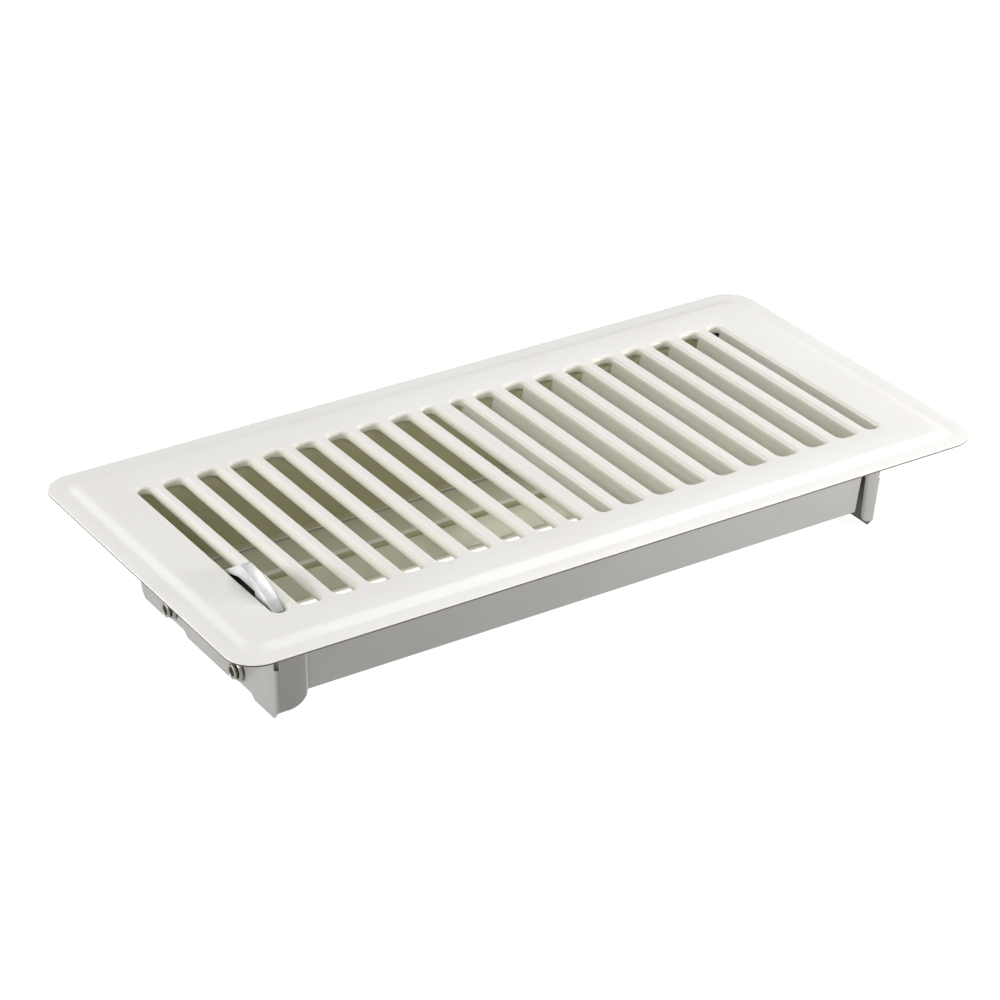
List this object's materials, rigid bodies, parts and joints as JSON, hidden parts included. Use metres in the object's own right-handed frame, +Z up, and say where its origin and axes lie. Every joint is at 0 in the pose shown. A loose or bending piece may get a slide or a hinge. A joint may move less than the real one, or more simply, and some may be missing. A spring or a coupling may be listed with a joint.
{
  "type": "louvred air grille with damper",
  "caption": "Rectangular stamped air grille with slanted louvres over a shallow valve box; a small lever in the end slot turns two linked damper blades.",
  "frame": {"origin": "below the centre of the faceplate, level with the lowest edge of the valve box's end plates", "axes": "+X along the length towards the end away from the lever, +Y from the front long side to the back long side, +Z up out of the face"},
  "size_m": [0.28, 0.14, 0.0445],
  "materials": {
    "white_enamel": "warm off-white semi-gloss enamel on stamped steel",
    "grey_box": "thin grey coat on plain steel sheet",
    "damper_steel": "dull oiled steel sheet with a faint olive cast",
    "zinc_pins": "zinc plated, slightly worn",
    "bright_lever": "bright plated strip"
  },
  "bodies": {
    "frame": {"faceplate": "white_enamel", "front_side_wall": "grey_box", "back_side_wall": "grey_box", "left_end_plate": "grey_box", "right_end_plate": "grey_box", "front_left_collar": "zinc_pins", "front_right_collar": "zinc_pins", "back_left_collar": "zinc_pins", "back_right_collar": "zinc_pins"},
    "front_damper": {"front_damper_blade": "damper_steel", "front_left_pivot": "zinc_pins", "front_right_pivot": "zinc_pins", "damper_lever": "bright_lever", "front_lever_rivet": "zinc_pins", "back_lever_rivet": "zinc_pins"},
    "back_damper": {"back_damper_blade": "damper_steel", "back_left_pivot": "zinc_pins", "back_right_pivot": "zinc_pins"},
    "link": {"link_bar": "damper_steel", "front_link_pin": "zinc_pins", "back_link_pin": "zinc_pins"}
  },
  "joints": [
    {"name": "front_damper_turn", "type": "hinge", "parent": "frame", "child": "front_damper", "pos_m": [0, -0.0226, 0.0068], "axis": [-1, 0, 0], "range_deg": [0, 60]},
    {"name": "back_damper_turn", "type": "hinge", "parent": "frame", "child": "back_damper", "pos_m": [0, 0.0226, 0.0068], "axis": [-1, 0, 0], "range_deg": [0, 60]},
    {"name": "link_turn", "type": "hinge", "parent": "front_damper", "child": "link", "pos_m": [0, -0.0226, 0.0158], "axis": [-1, 0, 0], "range_deg": [-60, 0]}
  ],
  "couplings": [
    {"joint": "back_damper_turn", "follows": "front_damper_turn", "ratio": 1},
    {"joint": "link_turn", "follows": "front_damper_turn", "ratio": -1}
  ]
}
